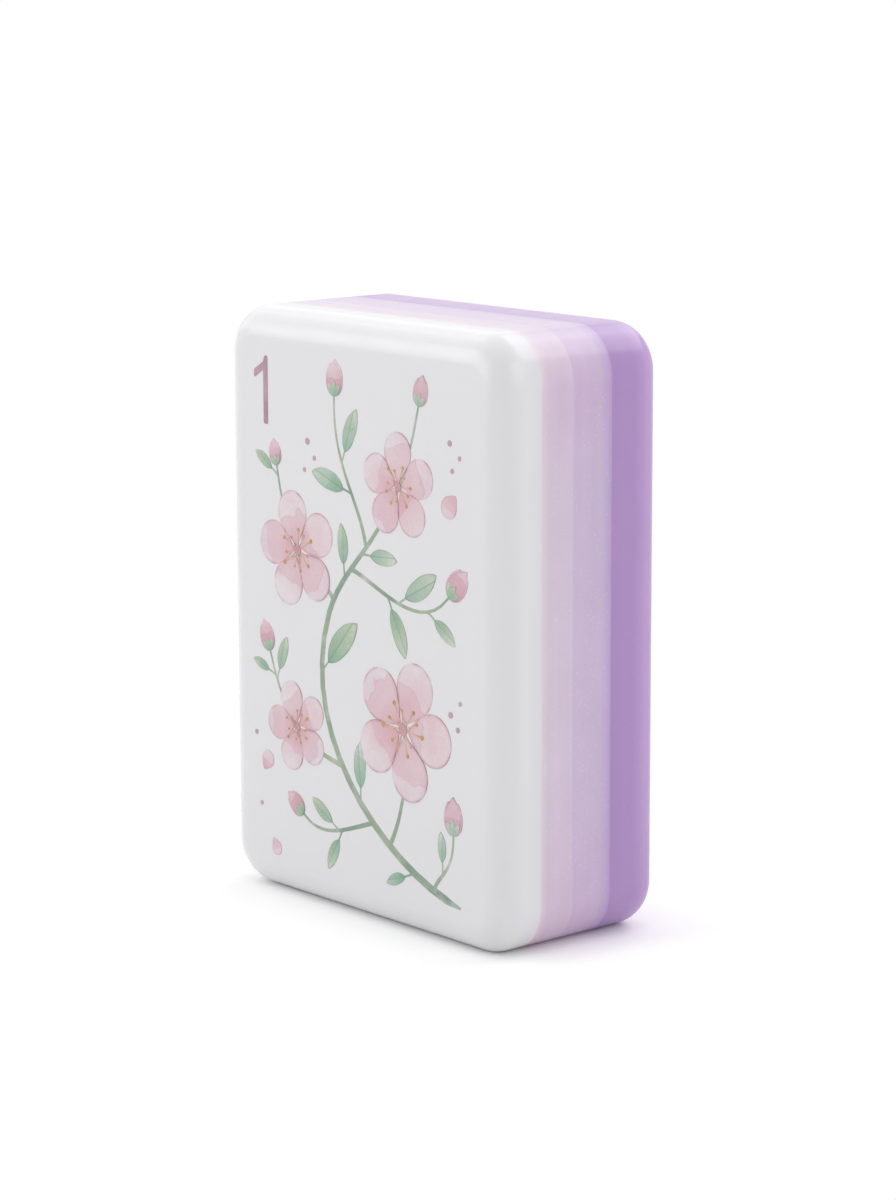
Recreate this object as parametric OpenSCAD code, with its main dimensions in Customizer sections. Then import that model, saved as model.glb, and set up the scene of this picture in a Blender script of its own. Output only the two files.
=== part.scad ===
// A mahjong tile, standing on its short edge: four layers bonded face to face, then cut, rounded
// and polished as one block, with a plum branch printed on the white face.

/* [Tile] */
// Width of the tile across its face
tile_w = 21.5; // [19:0.1:28]
// Height of the tile
tile_h = 30; // [27:0.1:42]
// Radius of the four corners, seen from the front
corner_r = 2.4; // [1.8:0.1:4]
// Radius rolled round the edge of the face
front_edge_r = 1.5; // [0.6:0.1:1.8]
// Radius rolled round the edge of the back
back_edge_r = 1.5; // [0.6:0.1:1.8]

/* [Layers] */
// Thickness of the white face layer
white_t = 2.3; // [1.6:0.05:4]
// Thickness of the pink pearl layer
pink_t = 1.95; // [1:0.05:4]
// Thickness of the lilac pearl layer
lilac_t = 2.3; // [1:0.05:4]
// Thickness of the solid purple back layer
purple_t = 3.55; // [2:0.05:6]
// Thickness of the clear bond film between two layers
bond_t = 0.1; // [0.05:0.01:0.2]

/* [Print] */
// Thickness of the cured ink on the face
ink_t = 0.04; // [0.02:0.01:0.1]
// Bare border between the rolled edge of the face and the print
print_border = 0.4; // [0:0.1:1.5]
// White line left between two areas of ink
ink_gap = 0.12; // [0.06:0.01:0.2]

/* [Blossoms and buds] */
// Radius of the largest blossom
blossom_r = 3.6; // [2.6:0.1:3.9]
// Number of petals in a blossom
petal_count = 5; // [4:1:6]
// Radius of the bare eye in the middle of the largest blossom
eye_r = 0.4; // [0.3:0.05:0.8]
// Reach of the largest loose petal
loose_r = 1.5; // [0.8:0.1:1.8]
// Radius of the largest bud
bud_r = 0.8; // [0.4:0.05:1]
// Reach of a bud's point beyond its round, as a share of its radius
bud_point = 0.4; // [0.1:0.05:0.7]

/* [Branch and leaves] */
// Width of the branch at its foot
branch_w = 0.45; // [0.3:0.05:0.9]
// Width of a twig's tip, and of a leaf's stalk
twig_w = 0.14; // [0.1:0.01:0.25]
// Length of the largest leaf
leaf_l = 3.4; // [2:0.1:4]
// Width of the largest leaf
leaf_w = 1.25; // [0.6:0.05:1.6]
// Length of a leaf's stalk
stalk_l = 0.35; // [0.2:0.05:0.8]

/* [Hidden] */
$fn = 64;

// Planes between the layers, measured up from the back
rear_bond_z = purple_t;
lilac_z = rear_bond_z + bond_t;
middle_bond_z = lilac_z + lilac_t;
pink_z = middle_bond_z + bond_t;
front_bond_z = pink_z + pink_t;
white_z = front_bond_z + bond_t;
tile_d = white_z + white_t;

// Centres of the corner rounds
post_x = tile_w / 2 - corner_r;
post_y = tile_h / 2 - corner_r;

// Half the print's field, which stays on the flat of the face
field_x = tile_w / 2 - front_edge_r - print_border;
field_y = tile_h / 2 - front_edge_r - print_border;

// Steps along a printed stroke, and the lean of a leaf away from its stem in degrees
stroke_steps = 14;
leaf_splay = 42;

// The branch: the four points that steer each stem, as shares of half the field from its middle,
// and its width at both ends, between those of a twig's tip (0) and of the branch's foot (1)
MAIN = [[.86, -.98], [.26, -.92], [-.58, -.50], [-.26, .02], [1, .7]];
UPPER = [[-.26, .02], [-.12, .25], [.34, .34], [.52, .85], [.7, 0]];
LOW_RIGHT = [along(MAIN, .32), [.34, -.74], [.44, -.54], [.38, -.36], [.5, 0]];
FAR_RIGHT = [along(MAIN, .12), [.66, -.88], [.80, -.86], [.80, -.72], [.35, 0]];
LOW_LEFT = [along(MAIN, .58), [-.34, -.54], [-.64, -.52], [-.80, -.19], [.5, 0]];
MID_RIGHT = [along(UPPER, .3), [.14, .18], [.52, 0], [.76, .17], [.4, 0]];
MID_LEFT = [along(UPPER, .08), [-.34, .18], [-.60, .12], [-.72, .54], [.5, 0]];
TOP_LEFT = [along(UPPER, .45), [.03, .46], [-.22, .58], [-.20, .84], [.4, 0]];
FOOT_LEFT = [along(MAIN, .4), [-.10, -.80], [-.34, -.88], [-.50, -.80], [.35, 0]];
STEMS = [MAIN, UPPER, LOW_RIGHT, FAR_RIGHT, LOW_LEFT, MID_RIGHT, MID_LEFT, TOP_LEFT, FOOT_LEFT];

// Blossoms: the stem, the place along it, the share of full size and the turn in degrees
BLOSSOMS = [[LOW_RIGHT, 1, 1, 0], [MID_LEFT, .62, .84, 8], [UPPER, .76, .74, -6], [LOW_LEFT, .6, .66, 4]];

// Loose petals: the place as shares of half the field, the share of full size and the turn
LOOSE_PETALS = [[.84, .56, 1, 230], [-.88, -.67, .85, 60], [-.80, -.92, .7, 300]];

// Buds at the tips of stems: the stem and the share of full size
BUDS = [[UPPER, .8], [FAR_RIGHT, 1], [LOW_LEFT, .85], [MID_RIGHT, 1], [MID_LEFT, .7], [TOP_LEFT, .95],
        [FOOT_LEFT, .8]];

// Leaves: the stem, the place along it, the side (1 is left of its run) and the share of full size
LEAVES = [[MAIN, .2, 1, .45], [MAIN, .46, -1, .7], [MAIN, .84, -1, .95], [FAR_RIGHT, .4, 1, .45],
          [FOOT_LEFT, .4, 1, .55], [FOOT_LEFT, .45, -1, .55], [UPPER, .22, 1, .6], [UPPER, .4, -1, .6],
          [MID_RIGHT, .4, -1, .75], [MID_RIGHT, .5, 1, .8], [MID_RIGHT, .78, -1, .55],
          [TOP_LEFT, .4, 1, .75], [TOP_LEFT, .62, -1, .7], [MID_LEFT, .97, 1, .45],
          [LOW_LEFT, .9, 1, .4], [LOW_LEFT, .88, -1, .55]];

// Points on a stem: its place, its heading in degrees and its width at a share of its length
function along(p, t) = pow(1 - t, 3) * p[0] + 3 * pow(1 - t, 2) * t * p[1]
    + 3 * (1 - t) * t * t * p[2] + pow(t, 3) * p[3];
function laid(p) = [p[0] * field_x, p[1] * field_y];
function run(p, t) = laid(pow(1 - t, 2) * (p[1] - p[0]) + 2 * (1 - t) * t * (p[2] - p[1])
    + t * t * (p[3] - p[2]));
function heading(p, t) = atan2(run(p, t)[1], run(p, t)[0]);
function width(p, t) = twig_w + (branch_w - twig_w) * (p[4][0] * (1 - t) + p[4][1] * t);
function bank(p, side, t) = laid(along(p, t))
    + side * width(p, t) / 2 * [-sin(heading(p, t)), cos(heading(p, t))];

// Half the angle that a petal fills, and how far the middle of its round head lies from the eye
petal_half = 180 / petal_count;
function petal_middle(reach) = (reach + ink_gap / 2) / (1 + sin(petal_half));

// The block lies on its back while it is shaped, and this stands it up
module stand() {
    translate([0, tile_d / 2, tile_h / 2]) rotate([90, 0, 0]) children();
}

// Section through the rim from the middle of a corner outwards: a flat wall, rolled front and back
module rim_section() {
    middle = tile_d / 2;
    square([corner_r - back_edge_r, middle]);
    translate([0, middle]) square([corner_r - front_edge_r, middle]);
    translate([0, back_edge_r]) square([corner_r, tile_d - back_edge_r - front_edge_r]);
    translate([corner_r - back_edge_r, back_edge_r]) circle(back_edge_r);
    translate([corner_r - front_edge_r, tile_d - front_edge_r]) circle(front_edge_r);
}

// The slice of the block that one layer holds: a flat middle, and a rim that runs along each side
// and turns each corner
module slice(z, thickness) {
    module rim() {
        intersection() {
            rim_section();
            translate([0, z]) square([corner_r, thickness]);
        }
    }
    stand() {
        translate([-post_x, -post_y, z]) cube([2 * post_x, 2 * post_y, thickness]);
        for (i = [0 : 3]) {
            out = i % 2 == 0 ? post_x : post_y;
            across = i % 2 == 0 ? post_y : post_x;
            rotate(90 * i) {
                translate([out, 0]) rotate([90, 0, 0]) linear_extrude(2 * across, center = true) rim();
                translate([out, across]) rotate_extrude(angle = 90) rim();
            }
        }
    }
}

// Ink on the flat of the face, kept inside the print's field
module ink() {
    stand() translate([0, 0, tile_d]) linear_extrude(ink_t) intersection() {
        union() children();
        square([2 * field_x, 2 * field_y], center = true);
    }
}

// One stem, a stroke that thins out towards its tip
module stem(p) {
    shares = [for (i = [0 : stroke_steps]) i / stroke_steps];
    left = [for (t = shares) bank(p, 1, t)];
    right = [for (t = shares) bank(p, -1, 1 - t)];
    polygon(concat(left, right));
}

// One petal: a round head that draws in to the eye, clear of its neighbours by half the white line
module petal(reach, eye) {
    middle = petal_middle(reach);
    head = reach - middle;
    claw = eye * tan(petal_half) - ink_gap / 2 / cos(petal_half);
    shoulder = [middle - head * sin(petal_half), head * cos(petal_half)];
    translate([middle, 0]) circle(head);
    polygon([[eye, -claw], [shoulder[0], -shoulder[1]], shoulder, [eye, claw]]);
}

module blossom(size) {
    for (i = [1 : petal_count])
        rotate(i * 2 * petal_half) petal(blossom_r * size, eye_r * size);
}

// Round bud that ends in a point
module bud(r) {
    lean = acos(1 / (1 + bud_point));
    circle(r);
    polygon([[0, 0], r * [cos(lean), -sin(lean)], [r * (1 + bud_point), 0], r * [cos(lean), sin(lean)]]);
}

// Pointed blade of a leaf along X, the overlap of two discs, grown all round by the given edge
module blade(size, grow = 0) {
    long = leaf_l * size + 2 * grow;
    broad = leaf_w * size + 2 * grow;
    bow = (long * long + broad * broad) / (4 * broad);
    translate([leaf_l * size / 2, 0]) intersection_for(side = [-1, 1])
        translate([0, side * (bow - broad / 2)]) circle(bow);
}

// A leaf: its blade, and a stalk that runs a little way into it
module leaf(size) {
    blade(size);
    translate([-stalk_l, -twig_w / 2]) square([stalk_l + leaf_l * size / 4, twig_w]);
}

// These put what follows at a blossom's eye, at a bud's middle and at a leaf's foot
module at_blossom(b) {
    translate(laid(along(b[0], b[1]))) rotate(180 + heading(b[0], b[1]) + b[3]) children();
}

module at_bud(b) {
    translate(laid(b[0][3])) rotate(heading(b[0], 1)) translate([bud_r * b[1] + ink_gap, 0]) children();
}

module at_leaf(l) {
    clear = (width(l[0], l[1]) / 2 + ink_gap) / sin(leaf_splay);
    translate(laid(along(l[0], l[1]))) rotate(heading(l[0], l[1]) + l[2] * leaf_splay)
        translate([clear + stalk_l, 0]) children();
}

// Room round every blossom and bud that the leaves and the branch keep clear of
module flower_room() {
    for (b = BLOSSOMS) at_blossom(b) {
        middle = petal_middle(blossom_r * b[2]);
        circle(middle);
        for (i = [1 : petal_count])
            rotate(i * 2 * petal_half) translate([middle, 0]) circle(blossom_r * b[2] - middle + ink_gap);
    }
    for (b = BUDS) at_bud(b) circle(bud_r * b[1] + ink_gap);
}

module white_face_layer() color("#efeef0") slice(white_z, white_t);
module front_bond_film() color("#e9e1e9") slice(front_bond_z, bond_t);
module pink_pearl_layer() color("#dccbdf") slice(pink_z, pink_t);
module middle_bond_film() color("#d5c1dc") slice(middle_bond_z, bond_t);
module lilac_pearl_layer() color("#d1bedc") slice(lilac_z, lilac_t);
module rear_bond_film() color("#ad8ec6") slice(rear_bond_z, bond_t);
module purple_back_layer() color("#b391ca") slice(0, purple_t);

module printed_branch() {
    color("#a2b19e") ink() difference() {
        for (p = STEMS) stem(p);
        flower_room();
        for (l = LEAVES) at_leaf(l) blade(l[3], ink_gap);
    }
}

module printed_leaves() {
    color("#aac4aa") ink() difference() {
        for (l = LEAVES) at_leaf(l) leaf(l[3]);
        flower_room();
    }
}

module printed_petals() {
    color("#e7cbd4") ink() {
        for (b = BLOSSOMS) at_blossom(b) blossom(b[2]);
        for (p = LOOSE_PETALS) translate(laid(p)) rotate(p[3]) petal(loose_r * p[2], eye_r * p[2]);
    }
}

module printed_buds() {
    color("#dbb1bf") ink() for (b = BUDS) at_bud(b) bud(bud_r * b[1]);
}

white_face_layer();
front_bond_film();
pink_pearl_layer();
middle_bond_film();
lilac_pearl_layer();
rear_bond_film();
purple_back_layer();
printed_branch();
printed_leaves();
printed_petals();
printed_buds();
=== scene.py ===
# %% [markdown]
# # A layered mahjong tile
# The tile is a solid block: a white face, two cloudy pearl layers and a purple back, bonded into a stack
# and then rounded and polished as one. The frame brings those layers at their real size. This lesson gives
# each layer its finish, prints a plum branch on the face, and lights the tile as a small product on white.

# %% Load the frame
import math

import bmesh
import bpy
from mathutils import Euler, Matrix, Vector


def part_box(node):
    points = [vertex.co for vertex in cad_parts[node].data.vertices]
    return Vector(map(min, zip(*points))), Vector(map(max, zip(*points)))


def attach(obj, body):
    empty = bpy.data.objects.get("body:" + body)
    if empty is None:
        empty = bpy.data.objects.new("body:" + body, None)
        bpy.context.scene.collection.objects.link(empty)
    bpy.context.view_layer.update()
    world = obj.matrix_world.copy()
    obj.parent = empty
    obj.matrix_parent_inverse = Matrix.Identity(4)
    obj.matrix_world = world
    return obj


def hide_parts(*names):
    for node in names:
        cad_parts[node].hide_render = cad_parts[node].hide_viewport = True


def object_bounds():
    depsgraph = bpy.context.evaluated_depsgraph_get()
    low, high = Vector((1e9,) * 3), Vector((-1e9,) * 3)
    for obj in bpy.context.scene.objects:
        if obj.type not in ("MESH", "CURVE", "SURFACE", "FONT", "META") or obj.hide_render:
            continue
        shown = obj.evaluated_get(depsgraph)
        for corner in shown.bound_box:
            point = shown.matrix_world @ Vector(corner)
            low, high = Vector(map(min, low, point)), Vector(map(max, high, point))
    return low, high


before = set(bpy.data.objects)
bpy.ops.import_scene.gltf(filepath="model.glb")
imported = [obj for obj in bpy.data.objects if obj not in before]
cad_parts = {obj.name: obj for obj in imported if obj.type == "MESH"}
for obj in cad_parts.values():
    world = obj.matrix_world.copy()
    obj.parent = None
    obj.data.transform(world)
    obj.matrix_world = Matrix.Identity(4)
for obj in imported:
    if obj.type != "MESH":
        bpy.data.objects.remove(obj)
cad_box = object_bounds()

MM = 0.001


def in_mm(lengths):
    return [round(length / MM, 2) for length in lengths]


print("nodes:", sorted(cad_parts))
print("tile:", in_mm(cad_box[1] - cad_box[0]), "mm")

# %% [markdown]
# ## Camera
# A product photograph is taken with a long lens, so that the edges hardly converge. Here it looks from the
# right and a little from above. The outline and the seams of the tile in the picture fix the camera's
# place and turn. Both are written as plain values, because a fitted camera is easier to check than one
# that tracks.

# %% Camera
CAMERA_PLACE = Vector((0.1305, -0.1112, 0.0482))
CAMERA_TURN = math.radians(49.42)
CAMERA_DIP = math.radians(10.78)
CAMERA_ROLL = math.radians(-0.19)
CAMERA_LENS = 104.8
SENSOR_HEIGHT = 36
CLIP_START = 0.01


def place_camera():
    camera = bpy.data.cameras.new("camera")
    camera.sensor_fit = 'VERTICAL'
    camera.sensor_height = SENSOR_HEIGHT
    camera.lens = CAMERA_LENS
    camera.clip_start = CLIP_START
    holder = bpy.data.objects.new("camera", camera)
    turn = Euler((math.radians(90) - CAMERA_DIP, 0, CAMERA_TURN)).to_matrix()
    turn = turn @ Matrix.Rotation(CAMERA_ROLL, 3, 'Z')
    holder.matrix_world = Matrix.Translation(CAMERA_PLACE) @ turn.to_4x4()
    bpy.context.scene.collection.objects.link(holder)
    bpy.context.scene.camera = holder
    print("camera at", in_mm(CAMERA_PLACE), "mm, lens", CAMERA_LENS, "mm")


place_camera()

# %% [markdown]
# ## Node helpers
# Every finish below is a small tree of nodes. These helpers add one node each and plug in a value, a
# colour or another node, so that a finish reads as a short recipe.

# %% Node helpers
def feed(tree, socket, value):
    """Plugs in another node, or sets a value or a colour."""
    if isinstance(value, bpy.types.NodeSocket):
        tree.links.new(value, socket)
    elif socket.type == 'RGBA':
        socket.default_value = (*value, 1)
    else:
        socket.default_value = value


def grow(tree, kind, **inputs):
    node = tree.nodes.new("ShaderNode" + kind)
    for name, value in inputs.items():
        feed(tree, node.inputs[name.replace("_", " ")], value)
    return node


def calc(tree, operation, *values, clamp=False):
    node = tree.nodes.new("ShaderNodeMath")
    node.operation = operation
    node.use_clamp = clamp
    for socket, value in zip(node.inputs, values):
        feed(tree, socket, value)
    return node.outputs[0]


def spread(tree, value, low, high, to_low=0.0, to_high=1.0):
    """Stretches low to high over to_low to to_high, and holds it there outside."""
    node = grow(tree, "MapRange", Value=value, From_Min=low, From_Max=high, To_Min=to_low, To_Max=to_high)
    return node.outputs["Result"]


def mixed(tree, share, first, second, how='MIX'):
    node = tree.nodes.new("ShaderNodeMix")
    node.data_type = 'RGBA'
    node.blend_type = how
    for name, value in (("Factor", share), ("A", first), ("B", second)):
        feed(tree, node.inputs[name], value)
    return node.outputs["Result"]


def ramp(tree, value, *stops):
    """A colour that changes along value, from (place, colour) stops."""
    node = grow(tree, "ValToRGB", Fac=value)
    band = node.color_ramp.elements
    band[0].position, band[1].position = stops[0][0], stops[-1][0]
    band[0].color, band[1].color = (*stops[0][1], 1), (*stops[-1][1], 1)
    for place, colour in stops[1:-1]:
        band.new(place).color = (*colour, 1)
    return node.outputs["Color"]


print("node helpers ready")

# %% [markdown]
# ## Patterns
# Patterns use Object coordinates, which are metres on the tile: a noise of scale 1000 has clouds about a
# millimetre wide. A noise keeps near its middle value, so a finish stretches it over a band: which values
# of the noise count, and what they become. Every finish starts as one skin that is wired to the output.

# %% Patterns and finishes
def place_on_tile(tree, stretch=(1, 1, 1)):
    where = tree.nodes.new("ShaderNodeTexCoord").outputs["Object"]
    if stretch == (1, 1, 1):
        return where
    return grow(tree, "Mapping", Vector=where, Scale=stretch).outputs["Vector"]


def clouds(tree, scale, detail, stretch=(1, 1, 1)):
    where = place_on_tile(tree, stretch)
    return grow(tree, "TexNoise", Vector=where, Scale=scale, Detail=detail).outputs["Fac"]


def patches(tree, scale, detail, band, stretch=(1, 1, 1)):
    return spread(tree, clouds(tree, scale, detail, stretch), *band)


def start_finish(name):
    made = bpy.data.materials.new(name)
    made.use_nodes = True
    tree = made.node_tree
    tree.nodes.clear()
    skin = tree.nodes.new("ShaderNodeBsdfPrincipled")
    out = tree.nodes.new("ShaderNodeOutputMaterial")
    tree.links.new(skin.outputs["BSDF"], out.inputs["Surface"])
    return made, tree, skin


print("patterns ready")

# %% [markdown]
# ## Paper
# The tile stands on white paper. For the light that it throws back, the paper is a plain white. What looks
# straight at it sees it brighter, and a few millimetres off the tile's foot it is a pure white, so that
# the picture's ground is white and only the thin shadow along the foot stays.

# %% Paper
FLOOR_SIZE = 12.0
PAPER = 0.85
PAPER_SEEN = 1.16
SHADOW_NEAR, SHADOW_FAR = 1.0 * MM, 3.0 * MM


def seen_straight(tree):
    """Is 1 for what shows a backdrop: the camera, a mirror or clear plastic."""
    path = tree.nodes.new("ShaderNodeLightPath")
    mirror = calc(tree, 'MAXIMUM', path.outputs["Is Glossy Ray"], path.outputs["Is Transmission Ray"])
    return calc(tree, 'MAXIMUM', path.outputs["Is Camera Ray"], mirror)


def off_the_foot(tree):
    """How far a place on the paper is from the tile's foot."""
    far = place_on_tile(tree)
    half = Vector((max(cad_box[1].x, -cad_box[0].x), max(cad_box[1].y, -cad_box[0].y), 0))
    steps = (('ABSOLUTE', None), ('SUBTRACT', half), ('MAXIMUM', (0, 0, 0)), ('LENGTH', None))
    for operation, value in steps:
        node = tree.nodes.new("ShaderNodeVectorMath")
        node.operation = operation
        feed(tree, node.inputs[0], far)
        if value is not None:
            feed(tree, node.inputs[1], value)
        far = node.outputs["Value" if operation == 'LENGTH' else "Vector"]
    return far


def lay_paper():
    bpy.ops.object.select_all(action='DESELECT')
    bpy.ops.mesh.primitive_plane_add(size=FLOOR_SIZE)
    paper = bpy.context.object
    paper.name = "white_paper"
    made = bpy.data.materials.new("white_paper")
    made.use_nodes = True
    tree = made.node_tree
    tree.nodes.clear()
    seen = seen_straight(tree)
    tone = mixed(tree, seen, (PAPER,) * 3, (PAPER_SEEN,) * 3)
    lit = grow(tree, "BsdfDiffuse", Color=tone).outputs["BSDF"]
    white = grow(tree, "Emission", Strength=1.0).outputs["Emission"]
    far = spread(tree, off_the_foot(tree), SHADOW_NEAR, SHADOW_FAR)
    pick = tree.nodes.new("ShaderNodeMixShader")
    for socket, value in zip(pick.inputs, (calc(tree, 'MULTIPLY', far, seen), lit, white)):
        feed(tree, socket, value)
    out = tree.nodes.new("ShaderNodeOutputMaterial")
    tree.links.new(pick.outputs["Shader"], out.inputs["Surface"])
    paper.data.materials.append(made)


lay_paper()
print("paper", FLOOR_SIZE, "m wide, its shadow faded at", *in_mm((SHADOW_NEAR, SHADOW_FAR)), "mm")

# %% [markdown]
# ## Lamps
# Small white products are lit in a tent: bright walls all round, and soft boxes behind them. A wide box
# behind the tile, brighter in its core, one overhead and one at the left draw the pale lines along the
# rolled edges. Those in front and at the right fill the face and the side, and a weak one at the back left
# evens the turn of the top corner. Each box is given by its way from the tile, its width, its height and
# its level.

# %% Surround and lamps
SURROUND = 0.30
LAMP_AWAY = 0.5
LAMPS = {
    "back_box": ((0.03, 0.66, 0.72), 0.52, 0.28, 0.93),
    "back_core": ((0.12, 0.64, 0.73), 0.36, 0.28, 1.20),
    "top_box": ((-0.05, -0.06, 1.00), 0.60, 0.50, 0.56),
    "front_box": ((-0.55, -0.80, 0.25), 0.40, 0.40, 1.67),
    "right_box": ((0.87, 0.02, 0.46), 0.40, 0.40, 1.46),
    "left_box": ((-0.74, -0.30, 0.60), 0.46, 0.50, 0.89),
    "corner_box": ((-0.58, 0.52, 0.62), 0.56, 0.32, 0.48)}


def light_surround():
    world = bpy.data.worlds.new("surround")
    bpy.context.scene.world = world
    world.use_nodes = True
    tree = world.node_tree
    level = spread(tree, seen_straight(tree), 0.0, 1.0, SURROUND, 1.0)
    tree.nodes["Background"].inputs["Color"].default_value = (1, 1, 1, 1)
    tree.links.new(level, tree.nodes["Background"].inputs["Strength"])


def hang_lamp(name, way, wide, high, level):
    lamp = bpy.data.lights.new(name, 'AREA')
    lamp.shape = 'RECTANGLE'
    lamp.size, lamp.size_y = wide, high
    lamp.energy = level * math.pi * wide * high
    holder = bpy.data.objects.new(name, lamp)
    aim = Vector(way).normalized()
    holder.location = aim * LAMP_AWAY
    holder.rotation_euler = (-aim).to_track_quat('-Z', 'Y').to_euler()
    holder.visible_camera = False
    bpy.context.scene.collection.objects.link(holder)


light_surround()
for name, lamp in LAMPS.items():
    hang_lamp(name, *lamp)
print("lamps:", ", ".join(LAMPS))

# %% [markdown]
# ## Polish
# The whole rim is turned and buffed after bonding, so every layer has the same soft gloss. Buffing leaves
# faint patches of finer and coarser polish and a very slight waviness, which only shows where a lamp
# mirrors. Every plastic of the tile starts with this polish, and then gets its colour.

# %% Polish shared by the layers
RUB_SCALE, WAVE_SCALE = 900, 160
POLISH_FINE, POLISH_COARSE = 0.18, 0.26
RUB_BAND = (0.3, 0.7, POLISH_FINE, POLISH_COARSE)
WAVE_STRENGTH, WAVE_DEPTH = 0.05, 0.02 * MM


def start_plastic(name):
    """A polished finish, its tree, and the socket that takes its colour."""
    made, tree, skin = start_finish(name)
    feed(tree, skin.inputs["Roughness"], patches(tree, RUB_SCALE, 5, RUB_BAND))
    wave = clouds(tree, WAVE_SCALE, 2)
    bump = grow(tree, "Bump", Strength=WAVE_STRENGTH, Distance=WAVE_DEPTH, Height=wave)
    feed(tree, skin.inputs["Normal"], bump.outputs["Normal"])
    return made, tree, skin.inputs["Base Color"]


print("polish: roughness", POLISH_FINE, "to", POLISH_COARSE)

# %% [markdown]
# ## Block
# On the real tile the bonded stack is sawn to size, its corners are turned, and its rim is rolled over in
# one pass, so the rounding runs on across every seam. The model is made the same way: one block is
# bevelled at its four corners and then round both faces, and only afterwards cut into layers at the bond
# planes.

# %% Rounded block
CORNER_ROUND, EDGE_ROLL = 2.4 * MM, 1.5 * MM
CORNER_STEPS, ROLL_STEPS = 28, 18
FACE_LOW, FACE_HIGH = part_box("white_face_layer")
BACK_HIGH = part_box("purple_back_layer")[1]
TINY = 0.001 * MM


def choose_edges(piece, test):
    """Selects the edges whose two ends pass the test, in edit mode."""
    bpy.ops.mesh.select_all(action='DESELECT')
    mesh = bmesh.from_edit_mesh(piece.data)
    for edge in mesh.edges:
        if test(*[vert.co for vert in edge.verts]):
            edge.select_set(True)
    bmesh.update_edit_mesh(piece.data)


def rounded_block():
    size, middle = BACK_HIGH - FACE_LOW, (BACK_HIGH + FACE_LOW) / 2
    bpy.ops.object.select_all(action='DESELECT')
    bpy.ops.mesh.primitive_cube_add(size=1)
    block = bpy.context.object
    block.name = "block"
    bpy.ops.object.mode_set(mode='EDIT')
    bpy.ops.mesh.select_mode(type='EDGE')
    bpy.ops.mesh.select_all(action='SELECT')
    bpy.ops.transform.resize(value=size, center_override=(0, 0, 0))
    bpy.ops.transform.translate(value=middle)
    choose_edges(block, lambda a, b: abs(a.y - b.y) > size.y / 2)
    bpy.ops.mesh.bevel(offset=CORNER_ROUND, segments=CORNER_STEPS, affect='EDGES', clamp_overlap=False)
    choose_edges(block, lambda a, b: abs(a.y - b.y) < TINY)
    bpy.ops.mesh.bevel(offset=EDGE_ROLL, segments=ROLL_STEPS, affect='EDGES', clamp_overlap=False)
    bpy.ops.object.mode_set(mode='OBJECT')
    return block


block = rounded_block()
print("block:", in_mm(block.dimensions), "mm,", len(block.data.polygons), "faces")

# %% [markdown]
# ## White face
# Each layer is a copy of the block, cut off in front and behind. The cut sides stay hidden. The normals
# are weighted by area, which keeps the flats flat where they meet a roll. The face comes first, an opaque
# white plastic. A moulded sheet is never one even white: it has wide, very faint warm and cool patches,
# and by its seam a little of the pink behind it shines through.

# %% White face layer
SMOOTH_BELOW = math.radians(40)
FACE_WHITE = (0.862, 0.857, 0.873)
FACE_COOL = (0.848, 0.852, 0.872)
FACE_DEEP = (0.826, 0.814, 0.858)
FACE_PINKISH = (0.814, 0.776, 0.840)
FACE_DEPTHS = ((-5.2, FACE_WHITE), (-4.0, FACE_WHITE), (-3.4, FACE_DEEP), (-2.9, FACE_PINKISH))
PATCH_SCALE = 130
FACE_BAND = (0.35, 0.75, 0.0, 0.6)


def cut_layer(block, node, finish):
    """A copy of the block, cut off in front of and behind one layer of the frame."""
    low, high = (corner.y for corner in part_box(node))
    layer = bpy.data.objects.new(node.replace("_layer", "").replace("_film", ""), block.data.copy())
    bpy.context.scene.collection.objects.link(layer)
    bpy.ops.object.select_all(action='DESELECT')
    layer.select_set(True)
    bpy.context.view_layer.objects.active = layer
    bpy.ops.object.mode_set(mode='EDIT')
    for place, front in ((low, True), (high, False)):
        if FACE_LOW.y + TINY < place < BACK_HIGH.y - TINY:
            bpy.ops.mesh.select_all(action='SELECT')
            bpy.ops.mesh.bisect(plane_co=(0, place, 0), plane_no=(0, 1, 0), threshold=TINY / 10,
                                use_fill=True, clear_inner=front, clear_outer=not front)
    bpy.ops.object.mode_set(mode='OBJECT')
    bpy.ops.object.shade_smooth_by_angle(angle=SMOOTH_BELOW)
    bpy.ops.object.modifier_add(type='WEIGHTED_NORMAL')
    layer.modifiers[0].keep_sharp = True
    bpy.ops.object.modifier_apply(modifier=layer.modifiers[0].name)
    layer.data.materials.append(finish)
    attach(layer, "root")
    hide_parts(node)
    print(layer.name, "from y", *in_mm((low, high)), "mm,", len(layer.data.polygons), "faces")


def by_depth(tree, *stops):
    """A colour that changes from the face to the back, from (millimetres of Y, colour) stops."""
    depth = grow(tree, "SeparateXYZ", Vector=place_on_tile(tree)).outputs["Y"]
    first, last = stops[0][0], stops[-1][0]
    share = spread(tree, depth, first * MM, last * MM)
    return ramp(tree, share, *[((mm - first) / (last - first), colour) for mm, colour in stops])


def white_face():
    made, tree, colour = start_plastic("white_face")
    patch = patches(tree, PATCH_SCALE, 2, FACE_BAND)
    feed(tree, colour, mixed(tree, patch, by_depth(tree, *FACE_DEPTHS), FACE_COOL))
    return made


cut_layer(block, "white_face_layer", white_face())
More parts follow.
